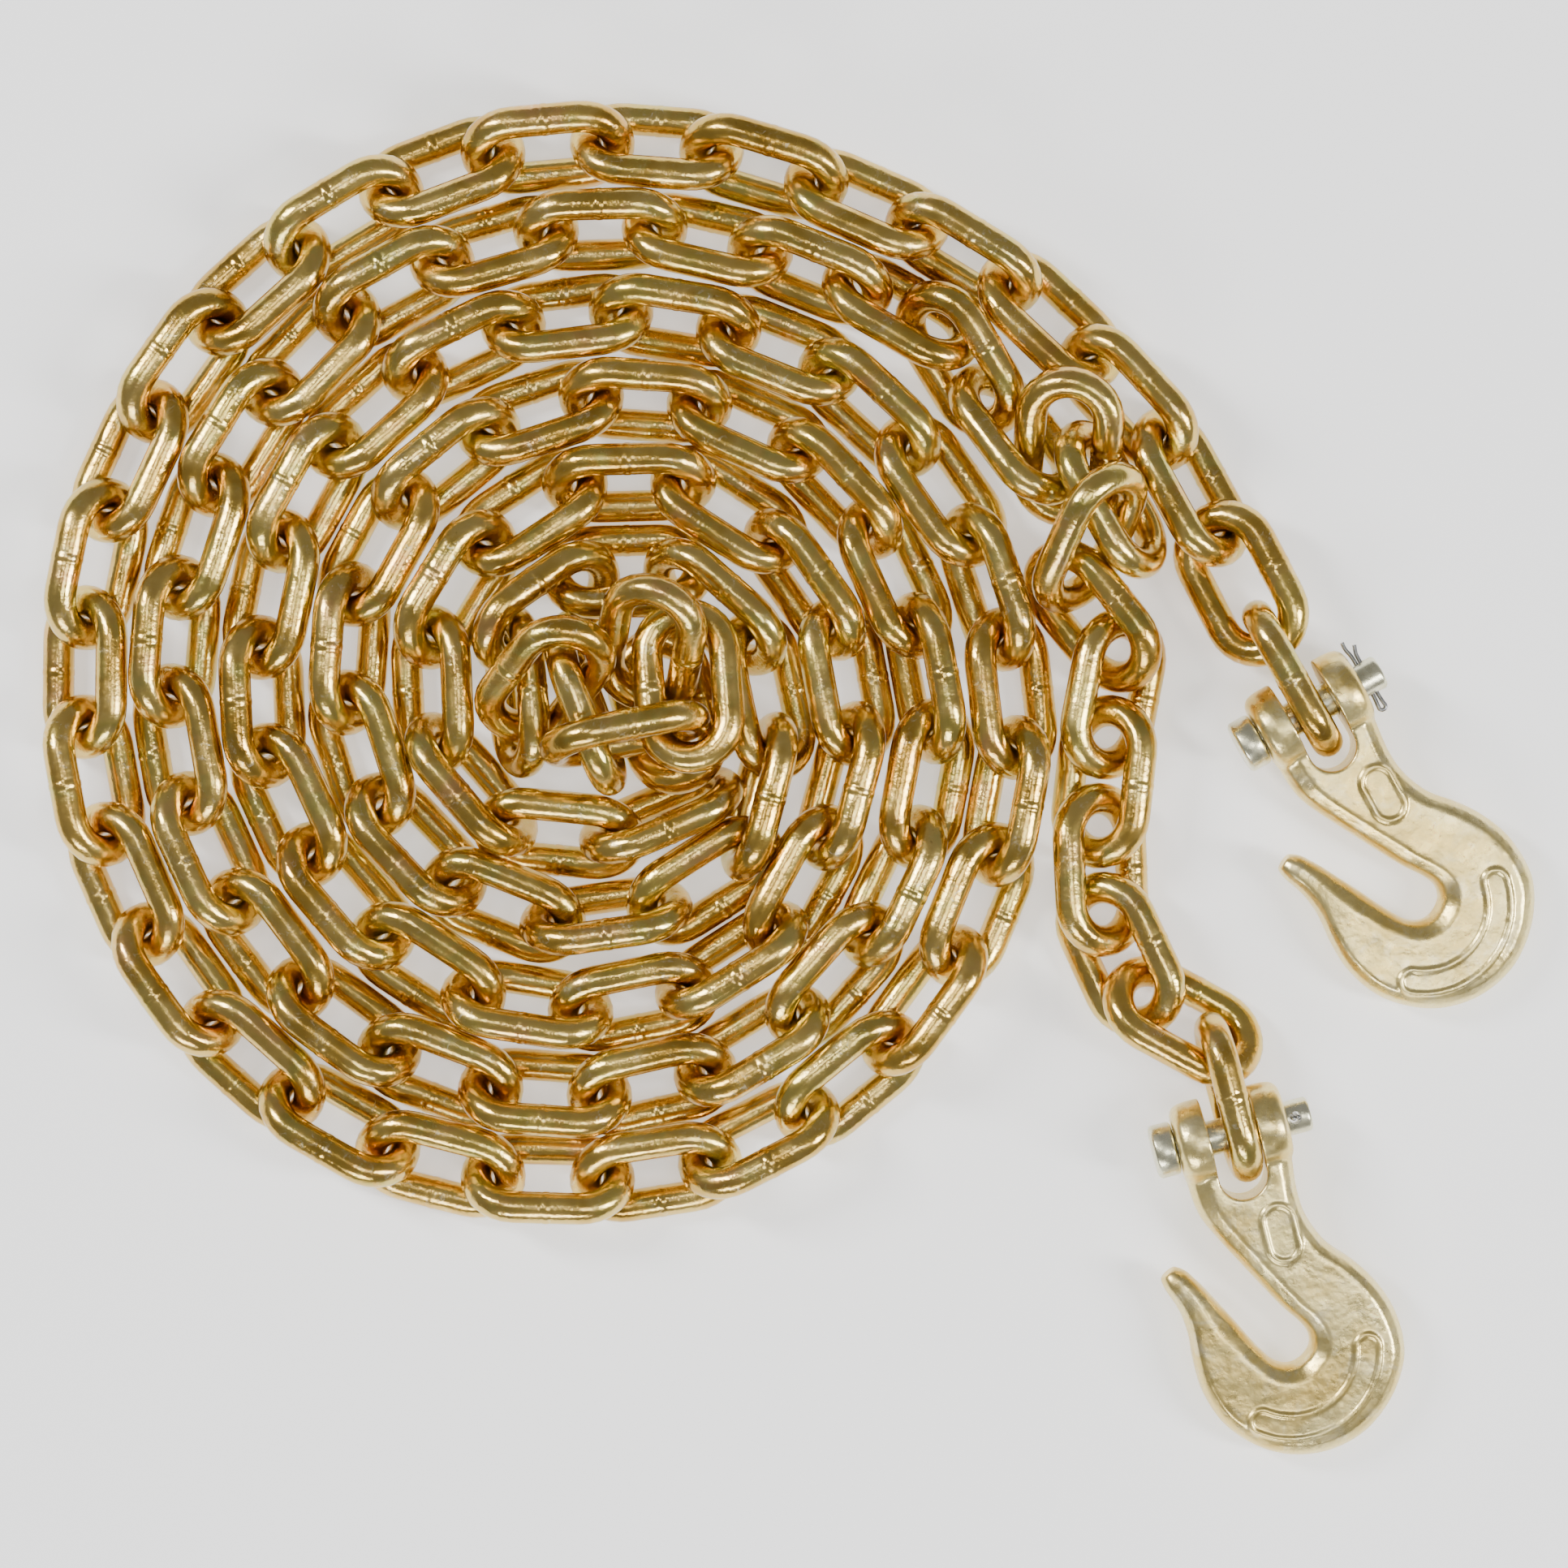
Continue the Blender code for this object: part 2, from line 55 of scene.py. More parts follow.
# Coil: two strands side by side on one spiral
COIL_OUTER = (-0.063, 0.023)
COIL_INNER = (-0.051, 0.028)
COIL_SQUASH = 0.96
COIL_RADIUS = 0.179
COIL_PITCH = 0.052
COIL_FROM = 50.0
INNER_RADIUS = 0.035
LEAN = 47.0
LINK_HEIGHT = 0.0138
TURN_STEP = 0.05
# Height of a wire's middle where it lies on the ground
LYING = WIRE / 2
# From the layout's own origin to the middle of the finished set
SHIFT = np.array([-0.00072, -0.00166, -0.0002])

# Settling: the links push each other clear, sink, and drift back towards where they were laid
ROUNDS = 300
LOOK_EVERY = 20
OUTLINE_POINTS = 36
REACH = 0.066
GAP = 0.0006
MOST_PUSH = 0.002
TURNING_WEIGHT = 3.2e-4
CROWDING = 0.6
PUSH_SHARE = 0.9
LIFT_SHARE = 0.7
TILT_SHARE = 0.5
PULL_BACK = 0.02
DROP = 0.00004
DROP_UNTIL = 0.85

# Link surface: rings as shares of a leg, closer together over the weld, and rings round a crown
WELD_RINGS = np.array([0, 0.22, 0.36, 0.41, 0.435, 0.46, 0.5, 0.54, 0.565, 0.59, 0.64, 0.78])
PLAIN_RINGS = np.array([0, 0.25, 0.5, 0.75])
CROWN_RINGS = 14
WIRE_SIDES = 18
# Weld collar, its grooves and the wire's waver: heights in shares of its radius, places in mm
MM = 0.001
COLLAR, COLLAR_REACH = 0.03, 1.5
GROOVE, GROOVE_AT, GROOVE_REACH = 0.028, 1.25, 0.3
WAVER, WAVES = 0.006, 3
THINNED = 0.014
# From one link to the next: the waver's phase, and the golden share that spreads the tones
PHASE_STEP = 2.4
TONE_STEP = 0.618034

# Links laid one by one: x, y and z of the centre, then heading, rise and lean in degrees
TAIL_A = [
    (0.0530, 0.1606, 0.0140, -33, 0, 47),
    (0.0807, 0.1425, 0.0140, -39, 0, -47),
    (0.1047, 0.1191, 0.0140, -50, 0, 47),
    (0.1235, 0.0913, 0.0140, -60, 0, -45),
    (0.1397, 0.0618, 0.0144, -62, 0, 52),
    (0.1554, 0.0323, 0.0172, -61, 0, 95),
]
TAIL_B = [
    (0.0405, 0.1475, 0.0140, -36, 0, -47),
    (0.0550, 0.1320, 0.0180, -58, 5, 50),
    (0.0719, 0.1097, 0.0180, -50, 12, -50),
    (0.0865, 0.1060, 0.0300, -90, -25, 0),
    (0.0980, 0.0856, 0.0220, -52, -18, -50),
    (0.0922, 0.0758, 0.0300, -112, -15, -42),
    (0.0970, 0.0520, 0.0170, -46, -12, 30),
]
LEAD_B = [
    (0.0966, 0.0285, 0.0130, -90, 0, -32),
    (0.0966, 0.0010, 0.0130, -90, 0, 32),
    (0.0970, -0.0261, 0.0130, -86, 0, -34),
    (0.1030, -0.0525, 0.0130, -68, 0, 33),
    (0.1192, -0.0748, 0.0135, -50, 0, -40),
    (0.1358, -0.0960, 0.0172, -75.6, 0, 88),
]
FOLD = [
    (-0.0830, 0.0270, 0.0170, -75, 5, 85),
    (-0.0710, 0.0310, 0.0290, 90, 38, 0),
    (-0.0650, 0.0190, 0.0280, -72, -12, 90),
    (-0.0430, 0.0110, 0.0270, 10, -14, 40),
    (-0.0300, 0.0290, 0.0300, 85, 12, 0),
    (-0.0450, 0.0365, 0.0340, -105, -40, 0),
    (-0.0330, 0.0160, 0.0130, -70, 8, 35),
]

# Grab hook: u runs along the pin towards its split pin, w from the pin down to the bow
PIN_RADIUS = 0.0054
PIN_HEAD_RADIUS = 0.00835
PIN_HEAD = 0.0072
PIN_END = 0.0249
EAR_FACE = 0.01725
EAR_RADIUS = 0.013
HOLE_RADIUS = 0.0057
SLOT_HALF = 0.0075
SLOT_CENTRE = 0.0125
BODY_HALF = 0.0075
INNER_BEVEL = 0.0060
OUTER_BEVEL = 0.0045
PAD_HEIGHT = 0.0006
COTTER_AT = 0.0200
COTTER_EYE = 0.0011
COTTER_WIRE = 0.0007
COTTER_HOLE = 0.0019
COTTER_RINGS = 120
COTTER_SIDES = 20
# How far back from an ear's face, and the radius there
EAR_EDGE = ((0.0, 0.0098), (0.0006, 0.0112), (0.0020, 0.0124), (0.0048, EAR_RADIUS))
# inner edge u, w, outer edge u, w, half thickness, from the ears round to the tip
HOOK_STATIONS = [
    (-0.0168, 0.0030, 0.0166, 0.0030, 0.0075),
    (-0.0170, 0.0110, 0.0164, 0.0110, 0.0075),
    (-0.0158, 0.0220, 0.0154, 0.0220, 0.0075),
    (-0.0115, 0.0315, 0.0162, 0.0305, 0.0075),
    (-0.0065, 0.0408, 0.0200, 0.0395, 0.0075),
    (-0.0020, 0.0490, 0.0265, 0.0470, 0.0075),
    (0.0020, 0.0560, 0.0315, 0.0545, 0.0075),
    (0.0062, 0.0620, 0.0350, 0.0630, 0.0075),
    (0.0078, 0.0660, 0.0362, 0.0730, 0.0075),
    (0.0072, 0.0695, 0.0345, 0.0820, 0.0075),
    (0.0048, 0.0720, 0.0280, 0.0920, 0.0075),
    (0.0015, 0.0734, 0.0180, 0.0998, 0.0075),
    (-0.0018, 0.0730, 0.0060, 0.1030, 0.0075),
    (-0.0048, 0.0710, -0.0060, 0.1015, 0.0075),
    (-0.0072, 0.0675, -0.0160, 0.0960, 0.0075),
    (-0.0100, 0.0625, -0.0240, 0.0870, 0.0074),
    (-0.0130, 0.0565, -0.0280, 0.0760, 0.0072),
    (-0.0165, 0.0500, -0.0286, 0.0660, 0.0069),
    (-0.0195, 0.0445, -0.0280, 0.0570, 0.0064),
    (-0.0220, 0.0405, -0.0290, 0.0490, 0.0058),
    (-0.0240, 0.0377, -0.0315, 0.0420, 0.0050),
    (-0.0270, 0.0356, -0.0321, 0.0382, 0.0034),
]

# centre u, w, end radius and half length of the short pad
PAD_UPPER = (0.0070, 0.0327, 0.0054, 0.0040)
# centre u, w, middle radius and half width of the curved pad, and its first and last degree
PAD_LOWER = (0.0013, 0.0693, 0.0234, 0.0042, 10.0, 127.0)
PAD_ROOT = 0.004
PAD_RIM = 0.0012
PAD_FLOOR = 0.2
BLADE_RINGS = 150
MOST_BEVEL = 0.3
# Cutters reach this far past what they cut: along the pin, and through the hook's thickness
PAST_PIN = 0.03
PAST_FACE = 0.02
ROUND_SIDES = 72
HOLE_SIDES = 48
DRILL_SIDES = 32
# Remeshing size and rounds of relaxing: the bare forging, then its slot, hole and pads
FORGING_GRAIN = 0.00045
ROUGH_ROUNDS = 15
FINE_ROUNDS = 3
SHARP_FROM = 35

# x, y, z of the pin centre, turn about Z, pitch about the pin and turn of the split pin in degrees
HOOK_A = (0.16074, 0.02268, 0.0164, 29.0, 4.95, 0.0)
HOOK_B = (0.13670, -0.10712, 0.0164, 14.4, 4.95, 90.0)

# Ground, light and camera; a soft box has a size, a place and a power in watts
FLOOR_REACH = 3.0
FLOOR_DROP = -0.0004
FLOOR_GLOW = 0.7
ROOM_LIGHT = 0.26
SOFTBOXES = (
    ("overhead", (0.45, 0.7), (0.44, -0.24, 1.95), 5.5),
    ("overhead_far", (0.3, 0.3), (-0.38, 0.3, 1.9), 2.2),
    ("key", (0.26, 0.7), (-1.15, 0.6, 1.3), 22.0),
    ("fill", (0.24, 0.8), (1.3, -0.3, 1.1), 21.0),
    ("front", (1.0, 0.25), (-0.2, -1.45, 0.9), 12.0),
)
CAMERA_AT = (-0.0012, -0.0017, 1.8)
SEEN_WIDTH = 0.4806
SEEN_HEIGHT = 0.018
SENSOR_MM = 36.0
CLIPPING = (0.05, 20.0)


def spiral_point(turn_deg, radius_in):
    """A point on the squashed spiral whose centre drifts as it winds in."""
    radius = radius_in - COIL_PITCH * turn_deg / 360
    share = radius / COIL_RADIUS
    angle = math.radians(COIL_FROM + turn_deg)
    cx = COIL_INNER[0] + (COIL_OUTER[0] - COIL_INNER[0]) * share
    cy = COIL_INNER[1] + (COIL_OUTER[1] - COIL_INNER[1]) * share
    return np.array([cx + COIL_SQUASH * radius * math.cos(angle), cy + radius * math.sin(angle)])


def one_pitch_on(turn, radius_in, behind):
    """The first small step past this turn at which the spiral is a pitch from the point behind."""
    turn += TURN_STEP
    while np.linalg.norm(spiral_point(turn, radius_in) - behind) < PITCH:
        turn += TURN_STEP
    return turn


def strand(first, radius_in, lean_sign):
    """Links a pitch apart along the spiral, from the outer end in, leaning each way by turns."""
    turn = one_pitch_on(0.0, radius_in, np.array(first))
    out = []
    while radius_in - COIL_PITCH * turn / 360 > INNER_RADIUS:
        out.append(spiral_point(turn, radius_in))
        turn = one_pitch_on(turn, radius_in, out[-1])
    out = np.array(out)
    ends = np.vstack([[first], out, [2 * out[-1] - out[-2]]])
    way = ends[:-2] - ends[2:]
    heading = np.degrees(np.arctan2(way[:, 1], way[:, 0]))
    links = []
    for p, h in zip(out, heading):
        links.append((p[0], p[1], LINK_HEIGHT, h, 0, lean_sign * LEAN))
        lean_sign = -lean_sign
    return links


def frames_of(links):
    """Centres, long axes and side axes of links from their headings, rises and leans.

    The long axis is turned to the heading and raised; the side axis is level, then rolled about it.
    """
    a = np.array(links, float)
    h, p, r = np.radians(a[:, 3]), np.radians(a[:, 4]), np.radians(a[:, 5])
    t = np.stack([np.cos(p) * np.cos(h), np.cos(p) * np.sin(h), np.sin(p)], 1)
    n = np.stack([-np.sin(h), np.cos(h), 0 * h], 1)
    u = np.cross(t, n)
    s = np.cos(r)[:, None] * n + np.sin(r)[:, None] * u
    return a[:, :3], t, s


def outline(count):
    """Points round a link's centreline: x along it, y across it."""
    whole = 4 * HALF_LEG + 2 * math.pi * CROWN
    d = (np.arange(count) + 0.5) / count * whole
    half = whole / 2
    e = d % half
    a = np.clip((e - 2 * HALF_LEG) / CROWN, 0, math.pi)
    x = np.where(e < 2 * HALF_LEG, e - HALF_LEG, HALF_LEG + CROWN * np.sin(a))
    y = np.where(e < 2 * HALF_LEG, CROWN, CROWN * np.cos(a))
    flip = np.where(d < half, 1.0, -1.0)
    return x * flip, y * flip


def settle(c, t, s, free):
    """Lets the links push each other clear and rest on the ground, one small step at a time.

    In a step each pair of near links is moved and turned apart by what its nearest points lack of a
    wire and a gap, and a link whose lowest point is under the ground is lifted and tilted out.
    """
    count = OUTLINE_POINTS
    x, y = outline(count)
    local = np.stack([x, y], 1)
    c, t, s = c.copy(), t.copy(), s.copy()
    laid = c.copy()
    for k in range(ROUNDS):
        if k % LOOK_EVERY == 0:
            d = np.linalg.norm(c[:, None] - c[None], axis=2)
            i, j = np.nonzero(np.triu(d < REACH, 1))
            keep = free[i] + free[j] > 0
            i, j = i[keep], j[keep]
        p = c[:, None] + local[None, :, :1] * t[:, None] + local[None, :, 1:] * s[:, None]
        a, b = p[i], p[j]
        squares = (a * a).sum(2)[:, :, None] + (b * b).sum(2)[:, None]
        apart = squares - 2 * np.einsum("pik,pjk->pij", a, b)
        flat = apart.reshape(len(i), -1).argmin(1)
        rows = np.arange(len(i))
        pa, pb = a[rows, flat // count], b[rows, flat % count]
        n = pa - pb
        dist = np.linalg.norm(n, axis=1)
        n = n / np.maximum(dist, 1e-6)[:, None]
        lack = np.clip(WIRE + GAP - dist, 0, MOST_PUSH)
        move, spin, hits = np.zeros_like(c), np.zeros_like(c), np.zeros(len(c))
        for who, q, sign, other in ((i, pa, 1.0, j), (j, pb, -1.0, i)):
            share = free[who] / np.maximum(free[who] + free[other], 1e-9)
            push = (sign * lack * share)[:, None] * n
            arm = q - c[who]
            np.add.at(move, who, push)
            weight = TURNING_WEIGHT + (arm * arm).sum(1)
            np.add.at(spin, who, np.cross(arm, push) / weight[:, None])
            np.add.at(hits, who, (lack > 0) * 1.0)
        soft = 1 / np.maximum(1, CROWDING * hits)[:, None]
        low = p[:, :, 2].argmin(1)
        every = np.arange(len(c))
        depth = np.clip(LYING - p[every, low, 2], 0, None)
        c = c + free[:, None] * soft * move * PUSH_SHARE
        w = soft * spin * PUSH_SHARE
        c[:, 2] += free * depth * LIFT_SHARE
        arm = p[every, low] - c
        up = np.zeros_like(c)
        up[:, 2] = depth * TILT_SHARE
        weight = TURNING_WEIGHT + (arm * arm).sum(1)
        w = w + free[:, None] * np.cross(arm, up) / weight[:, None]
        fade = PULL_BACK * (1 - k / ROUNDS)
        c += (free * fade)[:, None] * (laid - c)
        if k < ROUNDS * DROP_UNTIL:
            c[:, 2] -= free * DROP
        t = t + np.cross(w, t)
        s = s + np.cross(w, s)
        t /= np.linalg.norm(t, axis=1)[:, None]
        s -= (s * t).sum(1)[:, None] * t
        s /= np.linalg.norm(s, axis=1)[:, None]
    return c, t, s


def laid_links():
    """Every link's centre and axes, and the links that each CAD node holds.

    The coil's nodes hold three links each, the last of a strand up to five; the rest hold one.
    """
    a = strand(np.array(TAIL_A[0][:2]), COIL_RADIUS, -1)[::-1]
    b = strand(np.array(TAIL_B[0][:2]), COIL_RADIUS - COIL_PITCH / 2, 1)[::-1]
    links = a + TAIL_A + b + TAIL_B + LEAD_B + FOLD
    free = np.ones(len(links))
    free[len(a) + len(TAIL_A) - 1] = 0
    free[len(links) - len(FOLD) - 1] = 0
    c, t, s = settle(*frames_of(links), free)
    start_b = len(a) + len(TAIL_A)
    start_tail_b = start_b + len(b)
    start_lead = start_tail_b + len(TAIL_B)
    start_fold = start_lead + len(LEAD_B)
    owned = {}
    for prefix, first, last in (("coil_a", 0, len(a) + 1), ("coil_b", start_b, start_tail_b + 3)):
        runs = (last - first) // 3
        for k in range(first, last):
            run = min((k - first) // 3, runs - 1) + 1
            owned.setdefault(f"{prefix}_{run:02d}", []).append(k)
    singles = (
        ("tail_a", len(a) + 1, start_b),
        ("pile", start_tail_b + 3, start_lead),
        ("lead_b", start_lead, start_fold),
        ("fold", start_fold, len(links)),
    )
    for prefix, first, last in singles:
        for number, k in enumerate(range(first, last), 1):
            owned[f"{prefix}_link_{number}"] = [k]
    return c + SHIFT, t, s, owned


# ---------------------------------------------------------------- mesh helpers


def mesh_of(name, points, faces):
    """A smooth-shaded mesh from an array of points and an array of four-cornered faces."""
    mesh = bpy.data.meshes.new(name)
    mesh.from_pydata(points.tolist(), [], faces.tolist())
    mesh.polygons.foreach_set("use_smooth", np.ones(len(mesh.polygons), bool))
    mesh.update()
    return mesh


def piece(name, mesh, finish):
    """Puts a mesh in the scene with its finish."""
    made = bpy.data.objects.new(name, mesh)
    bpy.context.scene.collection.objects.link(made)
    made.data.materials.clear()
    made.data.materials.append(finish)
    return made


def grid_faces(rows, columns, wrap_rows):
    """Four-cornered faces of a grid whose columns close round, and whose rows do if asked."""
    last = rows if wrap_rows else rows - 1
    i, j = np.meshgrid(np.arange(last), np.arange(columns), indexing="ij")
    n, m = (i + 1) % rows, (j + 1) % columns
    corners = (i * columns + j, i * columns + m, n * columns + m, n * columns + j)
    return np.stack(corners, -1).reshape(-1, 4)


def capped_grid(points, name):
    """A tube from rings of points, closed at each end by a fan to the ring's middle."""
    rows, columns, _ = points.shape
    ends = np.stack([points[0].mean(0), points[-1].mean(0)])
    flat = np.concatenate([points.reshape(-1, 3), ends])
    faces = grid_faces(rows, columns, False).tolist()
    first, last = rows * columns, rows * columns + 1
    k = np.arange(columns)
    n = (k + 1) % columns
    faces += np.stack([n, k, np.full(columns, first)], 1).tolist()
    base = (rows - 1) * columns
    faces += np.stack([base + k, base + n, np.full(columns, last)], 1).tolist()
    mesh = bpy.data.meshes.new(name)
    mesh.from_pydata(flat.tolist(), [], faces)
    outwards(mesh)
    mesh.polygons.foreach_set("use_smooth", np.ones(len(mesh.polygons), bool))
    return mesh


def outwards(mesh):
    """Turns every face of a closed mesh to look outwards."""
    work = bmesh.new()
    work.from_mesh(mesh)
    bmesh.ops.recalc_face_normals(work, faces=work.faces)
    work.to_mesh(mesh)
    work.free()


def smooth_through(points, steps):
    """Catmull-Rom: cubics whose slope at a point is half the way between its neighbours."""
    p = np.vstack([2 * points[0] - points[1], points, 2 * points[-1] - points[-2]])
    u = np.linspace(0, len(points) - 1 - 1e-9, steps)
    k = u.astype(int)
    f = (u - k)[:, None]
    a, b, c, d = p[k], p[k + 1], p[k + 2], p[k + 3]
    square = (2 * a - 5 * b + 4 * c - d) * f**2
    cube = (3 * b - a - 3 * c + d) * f**3
    return 0.5 * (2 * b + (c - a) * f + square + cube)


# ---------------------------------------------------------------- links


def link_surface(c, t, s, seed):
    """One welded link: a round section carried along two legs and two half circles.

    Distance round the ring is the first parameter and the angle round the wire the second. The
    wire's radius grows by a share of itself at the weld in the middle of one leg, as a low collar
    with a fine groove on each side. It wavers by less than a hundredth of itself along the ring,
    and is about a hundredth under the wire's size all round, so that links turn without touching.
    """
    crown = np.linspace(0, math.pi, CROWN_RINGS + 1)[:-1]
    leg = 2 * HALF_LEG
    weld = WELD_RINGS * leg
    plain = PLAIN_RINGS * leg
    arc = CROWN * math.pi
    way = np.concatenate(
        [weld, leg + CROWN * crown, leg + arc + plain, 2 * leg + arc + CROWN * crown]
    )
    whole = 2 * (leg + arc)
    e = way % (whole / 2)
    bend = np.clip((e - leg) / CROWN, 0, math.pi)
    flip = np.where(way < whole / 2, 1.0, -1.0)
    x = flip * np.where(e < leg, e - HALF_LEG, HALF_LEG + CROWN * np.sin(bend))
    y = flip * np.where(e < leg, CROWN, CROWN * np.cos(bend))
    out_x, out_y = flip * np.sin(bend), flip * np.cos(bend)
    from_weld = (way - HALF_LEG) / MM
    collar = COLLAR * np.exp(-((from_weld / COLLAR_REACH) ** 2))
    groove = -GROOVE * np.exp(-(((np.abs(from_weld) - GROOVE_AT) / GROOVE_REACH) ** 2))
    waver = WAVER * np.sin(2 * math.pi * WAVES * way / whole + seed) - THINNED
    radius = WIRE / 2 * (1 + collar + groove + waver)
    turn = 2 * math.pi * np.arange(WIRE_SIDES) / WIRE_SIDES
    across = radius[:, None] * np.cos(turn)
    along = radius[:, None] * np.sin(turn)
    normal = np.cross(t, s)
    px = x[:, None] + across * out_x[:, None]
    py = y[:, None] + across * out_y[:, None]
    points = c + px[..., None] * t + py[..., None] * s + along[..., None] * normal
    return points, grid_faces(len(way), len(turn), True)


def chain_pieces(finish):
    """Each chain node's links as one mesh, with a tone of its own for every link."""
    c, t, s, owned = laid_links()
    for node, members in owned.items():
        points, faces, shade = [], [], []
        for k in members:
            p, f = link_surface(c[k], t[k], s[k], PHASE_STEP * k)
            faces.append(f + sum(len(q) for q in points))
            points.append(p.reshape(-1, 3))
            shade.append(np.full(p.size // 3, (k * TONE_STEP) % 1.0))
        mesh = mesh_of(node + "_links", np.concatenate(points), np.concatenate(faces))
        outwards(mesh)
        tone = mesh.attributes.new("tone", "FLOAT", "POINT")
        tone.data.foreach_set("value", np.concatenate(shade).astype(np.float32))
        made = piece(node + "_links", mesh, finish)
        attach(made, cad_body(node))
        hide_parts(node)


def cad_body(node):
    """The body that a CAD node belongs to."""
    for body, nodes in frame["record"]["behaviour"]["bodies"].items():
        if node in nodes:
            return body
    return "coil"


# ---------------------------------------------------------------- hooks


def about_pin(degrees):
    """The rotation by an angle about the pin's axis."""
    a = math.radians(degrees)
    return np.array([[1, 0, 0], [0, math.cos(a), -math.sin(a)], [0, math.sin(a), math.cos(a)]])


def about_z(degrees):
    """The rotation by an angle about the upright axis."""
    a = math.radians(degrees)
    return np.array([[math.cos(a), -math.sin(a), 0], [math.sin(a), math.cos(a), 0], [0, 0, 1]])


def place_mesh(mesh, turn, centre):
    """Moves a mesh's points to turn @ point + centre."""
    points = np.empty(len(mesh.vertices) * 3, np.float64)
    mesh.vertices.foreach_get("co", points)
    mesh.vertices.foreach_set("co", (points.reshape(-1, 3) @ turn.T + centre).ravel())
    mesh.update()


def blade():
    """The forged body: a fourteen-cornered section with wide bevels, carried from ears to tip.

    Along the body each corner follows a smooth curve through the stations. Across it a corner sits
    a share of the bevel in from the inner or the outer edge, at a share of the half thickness.
    """
    stations = smooth_through(np.array(HOOK_STATIONS), BLADE_RINGS)
    zero = np.zeros(len(stations))
    inner = np.stack([stations[:, 0], -stations[:, 1], zero], 1)
    outer = np.stack([stations[:, 2], -stations[:, 3], zero], 1)
    half = stations[:, 4]
    width = np.linalg.norm(outer - inner, axis=1)
    across = (outer - inner) / width[:, None]
    bevel_in = np.minimum(INNER_BEVEL, MOST_BEVEL * width)
    bevel_out = np.minimum(OUTER_BEVEL, MOST_BEVEL * width)
    heights = np.array([0, 0.35, 0.7, 1, 1, 0.7, 0.35, 0, -0.35, -0.7, -1, -1, -0.7, -0.35])
    share = np.array([0, 0.06, 0.34, 1, 1, 0.34, 0.06, 0, 0.06, 0.34, 1, 1, 0.34, 0.06])
    side = np.array([1, 1, 1, 1, 0, 0, 0, 0, 0, 0, 0, 1, 1, 1])[None, :, None]
    from_inner = inner[:, None] + across[:, None] * (bevel_in[:, None] * share)[..., None]
    from_outer = outer[:, None] - across[:, None] * (bevel_out[:, None] * share)[..., None]
    points = from_inner * side + from_outer * (1 - side)
    points[..., 2] = half[:, None] * heights
    return capped_grid(points, "blade")


def turned(profile, sides, name):
    """A surface of revolution about the pin: rings of the given radius at each u."""
    steps = np.array(profile)
    turn = 2 * math.pi * np.arange(sides) / sides
    points = np.empty((len(steps), sides, 3))
    points[..., 0] = steps[:, :1]
    points[..., 1] = steps[:, 1:] * np.cos(turn)
    points[..., 2] = steps[:, 1:] * np.sin(turn)
    return capped_grid(points, name)


def drawn(edge, low, high, name):
    """A flat outline in the hook's plane drawn straight from low to high."""
    flat = np.array(edge)
    rings = [np.stack([flat[:, 0], -flat[:, 1], np.full(len(flat), z)], 1) for z in (low, high)]
    mesh = bpy.data.meshes.new(name)
    count = len(flat)
    k = np.arange(count)
    n = (k + 1) % count
    sides = np.stack([k, n, n + count, k + count], 1).tolist()
    faces = sides + [k[::-1].tolist(), (k + count).tolist()]
    mesh.from_pydata(np.concatenate(rings).tolist(), [], faces)
    outwards(mesh)
    return mesh


def slot_outline():
    """The slot between the ears: straight sides and a half circle at its foot."""
    a = np.linspace(0, math.pi, 33)
    arc = np.stack([SLOT_HALF * np.cos(a), SLOT_CENTRE + SLOT_HALF * np.sin(a)], 1)
    return np.vstack([[SLOT_HALF, -PAST_PIN], arc, [-SLOT_HALF, -PAST_PIN]])


def short_pad_outline(inset):
    """A straight oval on the neck: two half circles, drawn in by the inset."""
    u, w, radius, half = PAD_UPPER
    a = np.linspace(math.pi, 2 * math.pi, 17)
    top = np.stack([(radius - inset) * np.cos(a), (radius - inset) * np.sin(a) - half], 1)
    return np.vstack([top, -top]) + (u, w)


def curved_pad_outline(inset):
    """A bent oval along the bow: two arcs about one centre, with round ends, less the inset."""
    u, w, mid, half, start, stop = PAD_LOWER
    sweep = np.radians(np.linspace(start, stop, 41))
    ends = np.linspace(0, math.pi, 13)[1:-1]
    r = half - inset
    outer = np.stack([(mid + r) * np.cos(sweep), (mid + r) * np.sin(sweep)], 1)
    inner = np.stack([(mid - r) * np.cos(sweep), (mid - r) * np.sin(sweep)], 1)[::-1]
    caps = []
    for angle, sign in ((sweep[-1], 1.0), (sweep[0], -1.0)):
        way = np.array([math.cos(angle), math.sin(angle)])
        on = sign * np.array([-math.sin(angle), math.cos(angle)])
        lead = ends if sign > 0 else ends[::-1]
        caps.append(mid * way + r * (np.cos(lead)[:, None] * way + np.sin(lead)[:, None] * on))
    return np.vstack([outer, caps[0], inner, caps[1]]) + (u, w)


